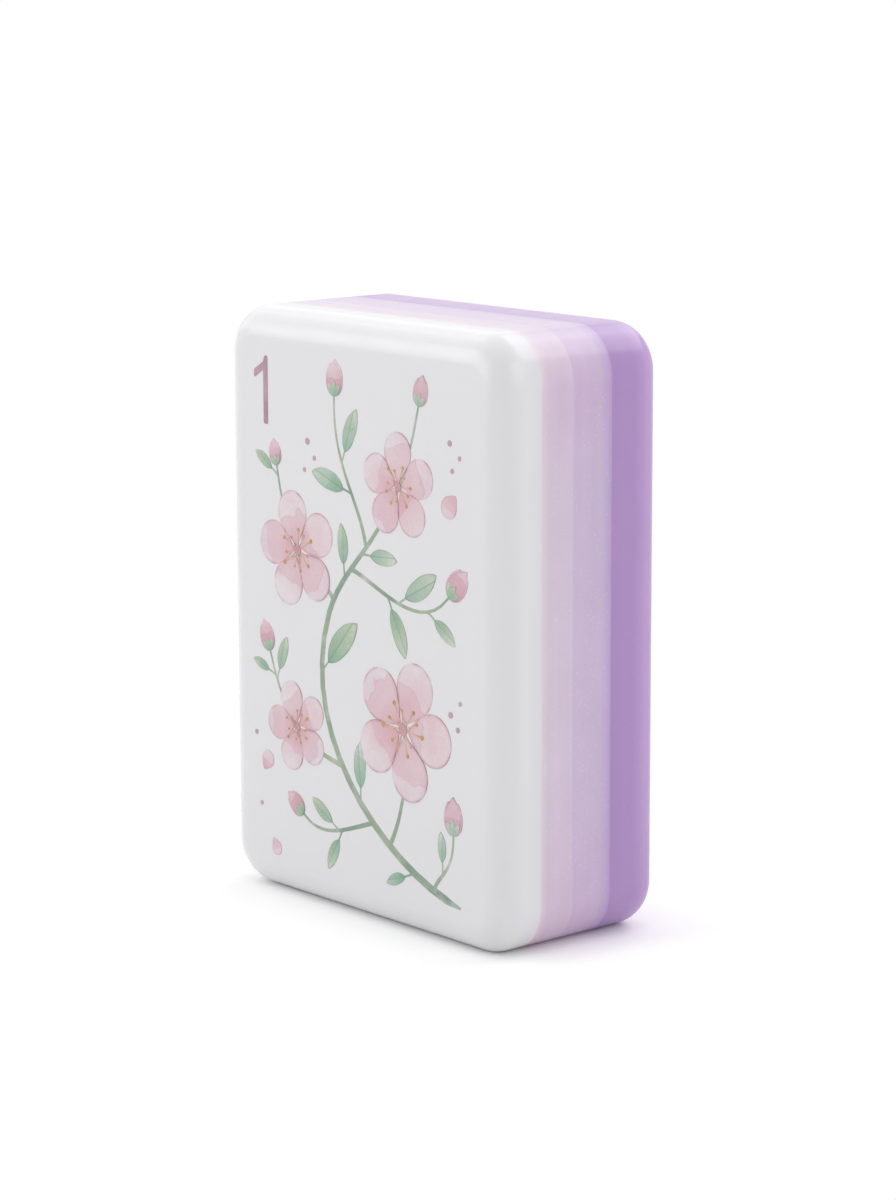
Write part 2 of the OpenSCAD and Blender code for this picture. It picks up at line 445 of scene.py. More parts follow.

# %% [markdown]
# ## Pearl layers
# The two middle layers are cloudy, with streaks that run along the sheet and a fine glitter. They let some
# light through, so each is paler by its lighter neighbour and deeper by its darker one. A ramp through the
# depth paints that glow into the colour. It could be true scattering, but ramps keep the seams as crisp as
# they are. A second ramp, through the height, gives a faint blush near the foot and the head, and a painted
# highlight on the turn of the head.

# %% Pearl layers
STREAK_SCALE, STREAK_STRETCH, STREAK_BAND = 90, (1, 16, 0.5), (0.3, 0.7, 0.972, 1.022)
CLOUD_SCALE, CLOUD_BAND = 380, (0.3, 0.7, 0.975, 1.025)
GLITTER_SCALE = 5200
GLITTER_SIZE, GLITTER_SHARE = 0.26, 0.80
GLITTER = (0.93, 0.88, 0.93)
PEARL_GLITTER = 0.4
# The paler, whiter step just below the head in ENDS is a painted highlight, where the lamps mirror on the
# turn of the top corners.
CLEAR, BLUSH, PAINTED_HIGHLIGHT = (1.0, 1.0, 1.0), (1.0, 0.93, 0.975), (1.06, 1.05, 1.03)
ENDS = ((0.03, BLUSH), (0.23, CLEAR), (0.77, CLEAR), (0.91, BLUSH), (0.955, PAINTED_HIGHLIGHT), (1.0, CLEAR))
PINK_DEPTHS = (
    (-2.8, (0.785, 0.70, 0.775)), (-2.4, (0.735, 0.618, 0.748)), (-1.9, (0.718, 0.597, 0.737)),
    (-0.85, (0.708, 0.585, 0.737)))
LILAC_DEPTHS = (
    (-0.75, (0.658, 0.522, 0.718)), (0.3, (0.648, 0.520, 0.716)), (0.95, (0.622, 0.500, 0.704)),
    (1.25, (0.588, 0.452, 0.702)), (1.55, (0.545, 0.402, 0.684)))


def glitter(tree, strength):
    """Tiny flakes, few of them bright."""
    flakes = grow(tree, "TexVoronoi", Vector=place_on_tile(tree), Scale=GLITTER_SCALE)
    small = spread(tree, flakes.outputs["Distance"], GLITTER_SIZE, GLITTER_SIZE / 2)
    pick = grow(tree, "SeparateColor", Color=flakes.outputs["Color"]).outputs["Red"]
    return calc(tree, 'MULTIPLY', small, spread(tree, pick, GLITTER_SHARE, 1.0, 0.0, strength))


def near_ends(tree):
    """A faint blush towards the tile's foot and head, and a painted highlight on the turn of the head, to
    multiply with.
    """
    height = grow(tree, "SeparateXYZ", Vector=place_on_tile(tree)).outputs["Z"]
    return ramp(tree, spread(tree, height, FACE_LOW.z, FACE_HIGH.z), *ENDS)


def pearl(name, *stops):
    made, tree, colour = start_plastic(name)
    body = mixed(tree, 1.0, by_depth(tree, *stops), near_ends(tree), 'MULTIPLY')
    streak = patches(tree, STREAK_SCALE, 4, STREAK_BAND, STREAK_STRETCH)
    shade = calc(tree, 'MULTIPLY', streak, patches(tree, CLOUD_SCALE, 4, CLOUD_BAND))
    shade = grow(tree, "CombineColor", Red=shade, Green=shade, Blue=shade).outputs["Color"]
    body = mixed(tree, 1.0, body, shade, 'MULTIPLY')
    feed(tree, colour, mixed(tree, glitter(tree, PEARL_GLITTER), body, GLITTER))
    return made


cut_layer(block, "pink_pearl_layer", pearl("pink_pearl", *PINK_DEPTHS))
cut_layer(block, "lilac_pearl_layer", pearl("lilac_pearl", *LILAC_DEPTHS))

# %% [markdown]
# ## Purple back
# The back is a solid, evenly coloured plastic, a shade deeper by its seam and a shade paler round its rim,
# where light gets through: that light is painted into its colour. Only slow, faint patches and a trace of
# glitter keep it from being one flat colour.

# %% Purple back layer
PURPLE_SEAM = (0.425, 0.270, 0.560)
PURPLE = (0.452, 0.283, 0.592)
PURPLE_WARM = (0.470, 0.286, 0.592)
# The paler colour round the rim is painted light, for light that gets through the thin rolled edge.
PURPLE_PAINTED_RIM_LIGHT = (0.555, 0.355, 0.685)
PURPLE_DEPTHS = ((1.65, PURPLE_SEAM), (2.6, PURPLE), (3.1, PURPLE), (3.95, PURPLE_PAINTED_RIM_LIGHT), (4.7, PURPLE))
PURPLE_BAND = (0.4, 0.7, 0.0, 0.6)
PURPLE_GLITTER = 0.08


def purple_back():
    made, tree, colour = start_plastic("purple_back")
    patch = patches(tree, PATCH_SCALE, 3, PURPLE_BAND)
    body = mixed(tree, patch, by_depth(tree, *PURPLE_DEPTHS), PURPLE_WARM)
    feed(tree, colour, mixed(tree, glitter(tree, PURPLE_GLITTER), body, GLITTER))
    return made


cut_layer(block, "purple_back_layer", purple_back())

# %% [markdown]
# ## Bond lines
# The layers are glued, and the glue is polished with the rim. The lines nearly vanish: each takes its
# colour from the paler layer that it joins. The purple behind the last one starts a shade deeper, and that
# gives the crisp edge that parts the back from the pearl.

# %% Bond films
BOND_SCALE, BOND_BAND = 700, (0.35, 0.65)
BONDS = {
    "front_bond": ((0.822, 0.760, 0.822), (0.806, 0.740, 0.812)),
    "middle_bond": ((0.672, 0.540, 0.722), (0.660, 0.526, 0.716)),
    "rear_bond": ((0.530, 0.386, 0.670), (0.512, 0.366, 0.656))}


def bond(name, pale, deep):
    made, tree, colour = start_plastic(name)
    feed(tree, colour, mixed(tree, patches(tree, BOND_SCALE, 3, BOND_BAND), pale, deep))
    return made


for name, tones in BONDS.items():
    cut_layer(block, name + "_film", bond(name, *tones))
bpy.data.objects.remove(block)

# %% [markdown]
# ## Layout of the print
# The face carries a plum branch in pale water colours. Its stems are smooth curves, each steered by four
# points and given the widths of its foot and tip, as shares between a twig and the branch. Places are
# shares of half the print's field from its middle, as in the tile's own model, so that the print lands
# where that model has its ink.

# %% Stems of the layout
PRINT_BORDER = 0.4 * MM
FIELD_X = FACE_HIGH.x - EDGE_ROLL - PRINT_BORDER
FIELD_Y = (FACE_HIGH.z - FACE_LOW.z) / 2 - EDGE_ROLL - PRINT_BORDER
FACE_MIDDLE = Vector((0, FACE_LOW.y, (FACE_LOW.z + FACE_HIGH.z) / 2))
FACE = Matrix.Translation(FACE_MIDDLE) @ Matrix.Rotation(math.radians(90), 4, 'X')
TWIG_W, BRANCH_W = 0.14 * MM, 0.45 * MM


def along(stem, t):
    """The place on a stem that is t of the way along it."""
    a, b, c, d = (Vector(p) for p in stem[:4])
    return (1 - t) ** 3 * a + 3 * (1 - t) ** 2 * t * b + 3 * (1 - t) * t * t * c + t ** 3 * d


def laid(p):
    """Turns shares of the field into metres on the face."""
    return Vector((p[0] * FIELD_X, p[1] * FIELD_Y))


def heading(stem, t):
    """The angle at which a stem runs at t."""
    a, b, c, d = (Vector(p) for p in stem[:4])
    run = laid((1 - t) ** 2 * (b - a) + 2 * (1 - t) * t * (c - b) + t * t * (d - c))
    return math.atan2(run.y, run.x)


def towards(turn):
    return Vector((math.cos(turn), math.sin(turn)))


def width(stem, t):
    foot, tip = stem[4]
    return TWIG_W + (BRANCH_W - TWIG_W) * (foot * (1 - t) + tip * t)


MAIN = [(0.86, -0.98), (0.26, -0.92), (-0.58, -0.50), (-0.26, 0.02), (1, 0.7)]
UPPER = [(-0.26, 0.02), (-0.12, 0.25), (0.34, 0.34), (0.52, 0.85), (0.7, 0)]
LOW_RIGHT = [along(MAIN, 0.32), (0.34, -0.74), (0.44, -0.54), (0.38, -0.36), (0.5, 0)]
FAR_RIGHT = [along(MAIN, 0.12), (0.66, -0.88), (0.80, -0.86), (0.80, -0.72), (0.35, 0)]
LOW_LEFT = [along(MAIN, 0.58), (-0.34, -0.54), (-0.64, -0.52), (-0.80, -0.19), (0.5, 0)]
MID_RIGHT = [along(UPPER, 0.3), (0.14, 0.18), (0.52, 0), (0.76, 0.17), (0.4, 0)]
MID_LEFT = [along(UPPER, 0.08), (-0.34, 0.18), (-0.60, 0.12), (-0.72, 0.54), (0.5, 0)]
TOP_LEFT = [along(UPPER, 0.45), (0.03, 0.46), (-0.22, 0.58), (-0.20, 0.84), (0.4, 0)]
FOOT_LEFT = [along(MAIN, 0.4), (-0.10, -0.80), (-0.34, -0.88), (-0.50, -0.80), (0.35, 0)]
STEMS = [MAIN, UPPER, LOW_RIGHT, FAR_RIGHT, LOW_LEFT, MID_RIGHT, MID_LEFT, TOP_LEFT, FOOT_LEFT]
print(len(STEMS), "stems on a field of", in_mm((2 * FIELD_X, 2 * FIELD_Y)), "mm")

# %% [markdown]
# ## What the stems carry
# A blossom is given by its stem, its place along it, its size and a turn in degrees. A bud sits on the end
# of its stem and has a size. A leaf has a stem, a place, a side and a size. Fallen petals lie free on the
# field.

# %% Blossoms, buds and leaves of the layout
BLOSSOMS = [
    (LOW_RIGHT, 1, 1, 0), (MID_LEFT, 0.62, 0.84, 8), (UPPER, 0.76, 0.74, -6), (LOW_LEFT, 0.6, 0.66, 4)]
LOOSE_PETALS = [(0.84, 0.56, 1, 230), (-0.88, -0.67, 0.85, 60), (-0.80, -0.92, 0.7, 300)]
BUDS = [
    (UPPER, 0.8), (FAR_RIGHT, 1), (LOW_LEFT, 0.85), (MID_RIGHT, 1), (MID_LEFT, 0.7), (TOP_LEFT, 0.95),
    (FOOT_LEFT, 0.8)]
LEAVES = [
    (MAIN, 0.2, 1, 0.45), (MAIN, 0.46, -1, 0.7), (MAIN, 0.84, -1, 0.95), (FAR_RIGHT, 0.4, 1, 0.45),
    (FOOT_LEFT, 0.4, 1, 0.55), (FOOT_LEFT, 0.45, -1, 0.55), (UPPER, 0.22, 1, 0.6), (UPPER, 0.4, -1, 0.6),
    (MID_RIGHT, 0.4, -1, 0.75), (MID_RIGHT, 0.5, 1, 0.8), (MID_RIGHT, 0.78, -1, 0.55),
    (TOP_LEFT, 0.4, 1, 0.75), (TOP_LEFT, 0.62, -1, 0.7), (MID_LEFT, 0.97, 1, 0.45),
    (LOW_LEFT, 0.9, 1, 0.4), (LOW_LEFT, 0.88, -1, 0.55)]
print(len(BLOSSOMS), "blossoms,", len(BUDS), "buds and", len(LEAVES), "leaves on stems")
print(len(LOOSE_PETALS), "fallen petals")

# %% [markdown]
# ## Blanks
# A petal, a leaf and a bud's petal are the same thing to a modeller: a flat disc, squashed to its breadth
# and pulled out at its ends with proportional editing. Two rings inside the outline carry a value named
# rim, which is 1 on the edge, so that the wash can dry darker there as water colour does. The sheet is
# then extruded, and a flat map runs along it for gradients and veins. A blank is about one unit long.

# %% Points and rims
DISC_CORNERS = 40
POINT_NEAR = 0.001


def choose(piece, test):
    """Selects the points that pass the test, in edit mode."""
    bpy.ops.mesh.select_all(action='DESELECT')
    mesh = bmesh.from_edit_mesh(piece.data)
    for vert in mesh.verts:
        if test(vert.co):
            vert.select_set(True)
    bmesh.update_edit_mesh(piece.data)


def mark_rim(piece, value):
    """Writes the rim value on the points that are selected."""
    mesh = bmesh.from_edit_mesh(piece.data)
    rim = mesh.verts.layers.float.get("rim") or mesh.verts.layers.float.new("rim")
    for vert in mesh.verts:
        if vert.select:
            vert[rim] = value
    bmesh.update_edit_mesh(piece.data)


def start_disc(name, middle, radius, corners=DISC_CORNERS):
    bpy.ops.object.select_all(action='DESELECT')
    bpy.ops.mesh.primitive_circle_add(
        vertices=corners, radius=radius, fill_type='NGON', location=(middle, 0, 0))
    piece = bpy.context.object
    piece.name = name
    bpy.ops.object.transform_apply(location=True)
    bpy.ops.object.mode_set(mode='EDIT')
    bpy.ops.mesh.select_mode(type='VERT')
    return piece


def pull(piece, end, move, reach):
    """Draws out the tip (end 1) or the foot (end -1), and what is within reach the less the further away."""
    far = max(end * vert.co.x for vert in bmesh.from_edit_mesh(piece.data).verts)
    choose(piece, lambda co: end * co.x > far - POINT_NEAR)
    bpy.ops.transform.translate(value=(*move, 0), use_proportional_edit=True,
                                proportional_edit_falloff='LINEAR', proportional_size=reach)


print("discs of", DISC_CORNERS, "corners")

# %% [markdown]
# ## From disc to blank
# The steps are always the same, so one function takes a blank's middle, its half length and half breadth,
# the pulls at its ends as (end, move, reach), and its heart, the place that the rings close in on.

# %% Rings, thickness and the whole blank
RING_SHARES = ((0.955, 0.35), (0.89, 0.0))


def add_rings(piece, heart):
    bpy.ops.mesh.select_all(action='SELECT')
    mark_rim(piece, 1.0)
    bpy.ops.mesh.select_mode(type='FACE')
    for share, value in RING_SHARES:
        bpy.ops.mesh.inset(thickness=0)
        bpy.ops.transform.resize(value=(share, share, 1), center_override=(heart, 0, 0))
        mark_rim(piece, value)
    bpy.ops.mesh.poke()


def thicken(piece):
    """Extrudes the flat sheet by 1, lays the flat map and a tone on it, and leaves edit mode."""
    bpy.ops.mesh.select_all(action='SELECT')
    bpy.ops.mesh.extrude_region_move(TRANSFORM_OT_translate={"value": (0, 0, 1)})
    bpy.ops.mesh.select_all(action='SELECT')
    bpy.ops.mesh.normals_make_consistent(inside=False)
    bpy.ops.object.mode_set(mode='OBJECT')
    mesh = piece.data
    while mesh.uv_layers:
        mesh.uv_layers.remove(mesh.uv_layers[0])
    flat = mesh.uv_layers.new(name="flat")
    for corner in mesh.loops:
        flat.data[corner.index].uv = mesh.vertices[corner.vertex_index].co.xy
    mesh.attributes.new("tone", 'FLOAT', 'POINT')
    return piece


def drawn_blank(name, middle, half_length, half_breadth, pulls, heart, corners=DISC_CORNERS):
    piece = start_disc(name, middle, half_length, corners)
    bpy.ops.mesh.select_all(action='SELECT')
    bpy.ops.transform.resize(value=(1, half_breadth / half_length, 1), center_override=(middle, 0, 0))
    for end, move, reach in pulls:
        pull(piece, end, move, reach)
    add_rings(piece, heart)
    return thicken(piece)


print("blanks with", len(RING_SHARES), "rings")

# %% [markdown]
# ## Stamping
# A blank is modelled once, and copies of it are stamped on the face, each with a mesh of its own. The
# height of a stamp is that of its ink, a few hundredths of a millimetre. A tone, from 0 to 1, varies the
# colour from copy to copy. The copies of one kind are then joined to one printed piece.

# %% Stamps and printed pieces
def tone_of(number, step):
    """A tone that jumps about from one copy to the next."""
    return number * step % 1


def stamp(blank, place, turn, size, height, tone=0.5, mirrored=False):
    """A copy of a blank on the face: its own mesh, with its place in it."""
    copy = bpy.data.objects.new(blank.name + "_copy", blank.data.copy())
    bpy.context.scene.collection.objects.link(copy)
    flip = -1 if mirrored else 1
    spot = Matrix.Translation((*place, 0)) @ Matrix.Rotation(turn, 4, 'Z')
    copy.data.transform(FACE @ spot @ Matrix.Diagonal((size, flip * size, height, 1)))
    if mirrored:
        copy.data.flip_normals()
    copy.data.attributes["tone"].data.foreach_set("value", [tone] * len(copy.data.vertices))
    return copy


def print_piece(name, copies, finish, slot, *replaced):
    """Joins the copies into one printed piece that rides on the tile."""
    bpy.ops.object.select_all(action='DESELECT')
    for copy in copies:
        copy.select_set(True)
    bpy.context.view_layer.objects.active = copies[0]
    if len(copies) > 1:
        bpy.ops.object.join()
    piece = bpy.context.view_layer.objects.active
    piece.name = piece.data.name = name
    piece.data.materials.clear()
    piece.data.materials.append(finish)
    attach(piece, "root")
    if replaced:
        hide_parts(*replaced)
    low = min(vert.co.y for vert in piece.data.vertices)
    print(name, len(copies), "copies,", len(piece.data.polygons), "faces, ink to", round(low / MM, 3), "mm")


def drop(*blanks):
    for blank in blanks:
        bpy.data.objects.remove(blank)


print("stamps ready, on a face at y", *in_mm((FACE_LOW.y,)), "mm")

# %% [markdown]
# ## Veins
# A petal has fine veins that fan out from its foot, and a leaf has a midrib with side veins. They could be
# cut into the mesh, but on a print they are only colour, so the flat map draws them as stripes in the
# nodes.

# %% Veins
STRIPE_HALF = 0.2
PETAL_STRIPES, FAN_BEHIND, PETAL_FADE = 9.0, 0.12, (0.15, 0.75, 0.4, 0.0)
LEAF_STRIPES, LEAF_LEAN, SIDE_VEIN = 7.0, 1.3, 0.25
MIDRIB_HALF, MIDRIB = 0.024, 0.8
DARK_HALF = (0.01, -0.01, 0.0, 0.2)


def flat_map(tree):
    """Where we are on the piece: along it from its foot, and across it from its middle."""
    node = tree.nodes.new("ShaderNodeUVMap")
    node.uv_map = "flat"
    parts = grow(tree, "SeparateXYZ", Vector=node.outputs["UV"])
    return parts.outputs["X"], parts.outputs["Y"]


def line(tree, distance, half_width):
    """Is 1 where a distance is 0, and fades to 0 at half_width."""
    return spread(tree, distance, 0.0, half_width, 1.0, 0.0)


def stripes(tree, value, count):
    """Lines at each whole number of value times count."""
    gap = calc(tree, 'PINGPONG', calc(tree, 'MULTIPLY', value, count), 0.5)
    return line(tree, gap, STRIPE_HALF)


def petal_veins(tree, run, across):
    """Fine lines that fan out from the claw and fade before the tip."""
    fan = calc(tree, 'DIVIDE', across, calc(tree, 'ADD', run, FAN_BEHIND))
    return calc(tree, 'MULTIPLY', stripes(tree, fan, PETAL_STRIPES), spread(tree, run, *PETAL_FADE))


def leaf_veins(tree, run, across):
    """A midrib, side veins that lean towards the tip, and a darker half."""
    side = calc(tree, 'ABSOLUTE', across)
    lean = calc(tree, 'SUBTRACT', run, calc(tree, 'MULTIPLY', side, LEAF_LEAN))
    ribs = calc(tree, 'MULTIPLY', stripes(tree, lean, LEAF_STRIPES), SIDE_VEIN)
    ribs = calc(tree, 'MAXIMUM', ribs, calc(tree, 'MULTIPLY', line(tree, side, MIDRIB_HALF), MIDRIB))
    return calc(tree, 'ADD', ribs, spread(tree, across, *DARK_HALF), clamp=True)


print("veins for petals and leaves")

# %% [markdown]
# ## Washes
# Water colour is transparent. Where the brush was wet it pales to the white of the tile, where it dried it
# leaves a darker edge, and a second coat ends part way along in a wavy line. One recipe does all of that
# for petals, buds and leaves, and takes their colours and their veins.

# %% Recipe of a wash
BLOOM_SCALE, COAT_SCALE, DRY_SCALE, GRAIN_SCALE = 480, 560, 1100, 5200
WASH_PLACES = (0.1, 0.5, 0.95)
WET_BAND = (0.40, 0.70)
GRAIN_BAND = (0.35, 0.75, 0.0, 0.10)
DRY_BAND = (0.36, 0.60, 0.08, 1.0)
COAT_WANDER = (0.0, 1.0, -0.45, 0.45)
COAT_END, COAT_END_BY_TONE, COAT = 0.4, 0.4, 0.40
TIDE_HALF, TIDE = 0.03, 0.28
VEIN = 0.6
INK_ROUGHNESS = 0.34


def start_ink(name):
    """A finish for ink, its tree, and the socket that takes its colour."""
    made, tree, skin = start_finish(name)
    skin.inputs["Roughness"].default_value = INK_ROUGHNESS
    return made, tree, skin.inputs["Base Color"]


def value_of(tree, name):
    node = tree.nodes.new("ShaderNodeAttribute")
    node.attribute_name = name
    return node.outputs["Fac"]


def second_coat(tree, run, tone, soft):
    """Where the second coat lies, and the thin tide line at its end."""
    wander = patches(tree, COAT_SCALE, 2, COAT_WANDER)
    end = calc(tree, 'ADD', calc(tree, 'MULTIPLY_ADD', tone, COAT_END_BY_TONE, COAT_END), wander)
    beyond = calc(tree, 'SUBTRACT', run, end)
    tide = calc(tree, 'MULTIPLY', line(tree, calc(tree, 'ABSOLUTE', beyond), TIDE_HALF), TIDE)
    return spread(tree, beyond, soft, -soft), tide


def wash(name, first, second, edge, veins, bloom=0.65, soft=0.05):
    """first and second are (foot, middle, tip) colours, and each copy's tone picks between them."""
    made, tree, colour = start_ink(name)
    run, across = flat_map(tree)
    tone = value_of(tree, "tone")
    body = mixed(tree, tone, ramp(tree, run, *zip(WASH_PLACES, first)),
                 ramp(tree, run, *zip(WASH_PLACES, second)))
    body = mixed(tree, patches(tree, BLOOM_SCALE, 3, (*WET_BAND, 0.0, bloom)), body, FACE_WHITE)
    coat, tide = second_coat(tree, run, tone, soft)
    body = mixed(tree, calc(tree, 'MULTIPLY', coat, COAT), body, first[0])
    rim = calc(tree, 'MULTIPLY', value_of(tree, "rim"), patches(tree, DRY_SCALE, 2, DRY_BAND))
    marks = patches(tree, GRAIN_SCALE, 2, GRAIN_BAND)
    for more in (calc(tree, 'MULTIPLY', veins(tree, run, across), VEIN), tide, rim):
        marks = calc(tree, 'MAXIMUM', marks, more)
    feed(tree, colour, mixed(tree, marks, body, edge))
    return made


def plain_wash(name, first, second, edge, bloom):
    """A wash for something small, with one colour from end to end."""
    return wash(name, (first,) * 3, (second,) * 3, edge, petal_veins, bloom)


PETAL_WASH = wash(
    "petal_wash", ((0.75, 0.42, 0.49), (0.82, 0.60, 0.65), (0.85, 0.71, 0.74)),
    ((0.77, 0.47, 0.53), (0.84, 0.70, 0.74), (0.79, 0.63, 0.72)), (0.52, 0.23, 0.31), petal_veins)
BUD_WASH = wash(
    "bud_wash", ((0.62, 0.31, 0.39), (0.72, 0.42, 0.49), (0.79, 0.54, 0.60)),
    ((0.70, 0.40, 0.48), (0.79, 0.56, 0.62), (0.83, 0.66, 0.70)), (0.46, 0.20, 0.28), petal_veins, 0.4)
LEAF_WASH = wash(
    "leaf_wash", ((0.24, 0.45, 0.31), (0.38, 0.56, 0.43), (0.53, 0.64, 0.48)),
    ((0.38, 0.52, 0.36), (0.56, 0.64, 0.46), (0.64, 0.67, 0.50)), (0.12, 0.25, 0.16), leaf_veins, 0.5, 0.3)
print("washes for petals, buds and leaves")

# %% [markdown]
# ## Paths of the stems
# A stem is one pull of a brush, and its path is a curve with four steering points. A leaf's stalk leaves
# the stem along its heading and bends into the blade, and a short neck carries a stem on under the foot of
# its bud. Only the main branch starts thin, like a stroke that is set down slowly, so its path is split in
# two.

# %% Paths of stems, stalks and necks
LEAF_SPLAY = math.radians(42)
LEAF_LENGTH, STALK, INK_GAP = 3.4 * MM, 0.35 * MM, 0.12 * MM
STALK_IN, STALK_THIN = 0.2, 0.7
NECK = 0.35 * MM
FOOT_SHARE = 0.07


def leaf_foot(stem, t, side):
    """Where a leaf's blade starts, and which way it points."""
    turn = heading(stem, t) + side * LEAF_SPLAY
    clear = (width(stem, t) / 2 + INK_GAP) / math.sin(LEAF_SPLAY) + STALK
    return laid(along(stem, t)) + clear * towards(turn), turn


def stalk_paths():
    for stem, t, side, size in LEAVES:
        foot, turn = leaf_foot(stem, t, side)
        start = laid(along(stem, t))
        bend = start + towards(heading(stem, t)) * STALK / 2
        end = foot + STALK_IN * size * LEAF_LENGTH * towards(turn)
        yield [start, bend, foot, end], (TWIG_W, TWIG_W * STALK_THIN)


def neck_paths():
    for stem, _ in BUDS:
        run = NECK / 3 * towards(heading(stem, 1))
        yield [laid(along(stem, 1)) + k * run for k in range(4)], (TWIG_W, TWIG_W)


def steer(points, *shares):
    """The point that three shares of a path's length give."""
    for t in shares:
        points = [a.lerp(b, t) for a, b in zip(points, points[1:])]
    return points[0]


def part_of(points, start, end):
    return [steer(points, *(start,) * (3 - k), *(end,) * k) for k in range(4)]


def stem_paths():
    for stem in STEMS:
        points = [laid(p) for p in stem[:4]]
        first = FOOT_SHARE if stem is MAIN else 0
        if first:
            yield part_of(points, 0, first), (TWIG_W, width(stem, first))
        yield part_of(points, first, 1), (width(stem, first), width(stem, 1))


paths = [*stem_paths(), *stalk_paths(), *neck_paths()]
print(len(paths), "paths for the brush")

# %% [markdown]
# ## Stems
# Each path becomes a curve with a round section that thins out towards its tip. Made into a mesh, the
# curve is pressed nearly flat and cut off at the face, which leaves a low bead of ink that runs on under
# the blossoms.

# %% Stems and stalks
STROKE_STEPS, STROKE_SIDES = 14, 2
STROKE_FLAT = 0.06
STEM_DEEP, STEM_PALE = (0.24, 0.35, 0.27), (0.40, 0.47, 0.34)
STEM_BAND = (0.35, 0.65)
STEM_WET = (0.5, 0.75, 0.0, 0.4)


def brush_stroke(points, widths):
    """A curve with a round section, made a mesh, pressed flat and cut off at the face."""
    bpy.ops.object.select_all(action='DESELECT')
    bpy.ops.curve.primitive_bezier_curve_add()
    curve = bpy.context.object.data
    foot, tip = curve.splines[0].bezier_points
    for knot, at, wide in ((foot, 0, widths[0]), (tip, 3, widths[1])):
        knot.handle_left_type = knot.handle_right_type = 'FREE'
        knot.co = knot.handle_left = knot.handle_right = (*points[at], 0)
        knot.radius = wide
    foot.handle_right = (*points[1], 0)
    tip.handle_left = (*points[2], 0)
    curve.resolution_u = STROKE_STEPS
    curve.bevel_depth = 0.5  # a knot's radius is then the stroke's width
    curve.bevel_resolution = STROKE_SIDES
    curve.use_fill_caps = True
    bpy.ops.object.convert(target='MESH')
    piece = bpy.context.object
    bpy.ops.object.mode_set(mode='EDIT')
    bpy.ops.mesh.select_all(action='SELECT')
    bpy.ops.mesh.remove_doubles(threshold=TINY / 10)
    bpy.ops.transform.resize(value=(1, 1, STROKE_FLAT), center_override=(0, 0, 0))
    bpy.ops.mesh.bisect(plane_co=(0, 0, 0), plane_no=(0, 0, 1), threshold=TINY / 10, use_fill=True,
                        clear_inner=True)
    bpy.ops.mesh.select_all(action='SELECT')
    bpy.ops.mesh.normals_make_consistent(inside=False)
    bpy.ops.object.mode_set(mode='OBJECT')
    bpy.ops.object.shade_smooth_by_angle()
    piece.data.transform(FACE)
    return piece


def stem_ink():
    made, tree, colour = start_ink("stem_ink")
    body = mixed(tree, patches(tree, BLOOM_SCALE, 3, STEM_BAND), STEM_DEEP, STEM_PALE)
    feed(tree, colour, mixed(tree, patches(tree, DRY_SCALE, 3, STEM_WET), body, FACE_WHITE))
    return made


strokes = [brush_stroke(*path) for path in paths]
print_piece("stem_print", strokes, stem_ink(), "stem_ink", "printed_branch")

# %% [markdown]
# ## Leaves
# A plum leaf is broadest below its middle, pointed at both ends, with its tip swept a little to one side.
# A disc that is pulled out gives that outline with an even edge for the wash to dry on. Leaves on the
# right of a stem are mirrored, so that all tips sweep the same way off their stems.

# %% Leaves
LEAF_SHAPE = {
    "middle": 0.46, "half_length": 0.36, "half_breadth": 0.195, "heart": 0.47,
    "pulls": (
        (-1, (-0.07, 0), 0.30), (-1, (-0.03, 0), 0.10), (1, (0.13, 0.06), 0.50), (1, (0.05, 0.015), 0.13))}
LEAF_TONES = 0.37
INK_LEAF = 0.014 * MM

leaf = drawn_blank("leaf", **LEAF_SHAPE)
copies = []
for number, (stem, t, side, size) in enumerate(LEAVES):
    foot, turn = leaf_foot(stem, t, side)
    tone = tone_of(number, LEAF_TONES)
    copies.append(stamp(leaf, foot, turn, LEAF_LENGTH * size, INK_LEAF, tone, side < 0))
print_piece("leaf_print", copies, LEAF_WASH, "leaf_ink", "printed_leaves")
drop(leaf)

# %% [markdown]
# ## Petals
# A plum blossom has five round petals that draw in to a narrow claw. They lap over each other a little, so
# each of the five is printed a hair higher than the one before.

# %% Petals
PETALS = 5
PETAL_SHAPE = {
    "middle": 0.630, "half_length": 0.370, "half_breadth": 0.370, "heart": 0.630,
    "pulls": ((-1, (-0.16, 0), 0.27),)}
PETAL_TONES = 0.41
BLOSSOM_REACH, LOOSE_REACH = 3.6 * MM, 1.5 * MM
INK_PETAL, INK_LAP = 0.018 * MM, 0.002 * MM


def blossom_places():
    for stem, t, size, turn in BLOSSOMS:
        yield laid(along(stem, t)), math.pi + heading(stem, t) + math.radians(turn), size


petal = drawn_blank("petal", **PETAL_SHAPE)
copies = []
for middle, turn, size in blossom_places():
    for k in range(1, PETALS + 1):
        tone = tone_of(len(copies), PETAL_TONES)
        way = turn + k * math.tau / PETALS
        copies.append(stamp(petal, middle, way, BLOSSOM_REACH * size, INK_PETAL + k * INK_LAP, tone))
for x, y, size, turn in LOOSE_PETALS:
    copies.append(stamp(petal, laid((x, y)), math.radians(turn), LOOSE_REACH * size, INK_PETAL))
print_piece("petal_print", copies, PETAL_WASH, "petal_ink", "printed_petals")
drop(petal)

# %% [markdown]
# ## Buds
# A bud shows three petals that are still wrapped round each other: one in the middle and one behind on
# either side. Three green sepals hold it at its foot. One outline could stand for all, but stamps that lap
# show how the bud is wrapped.

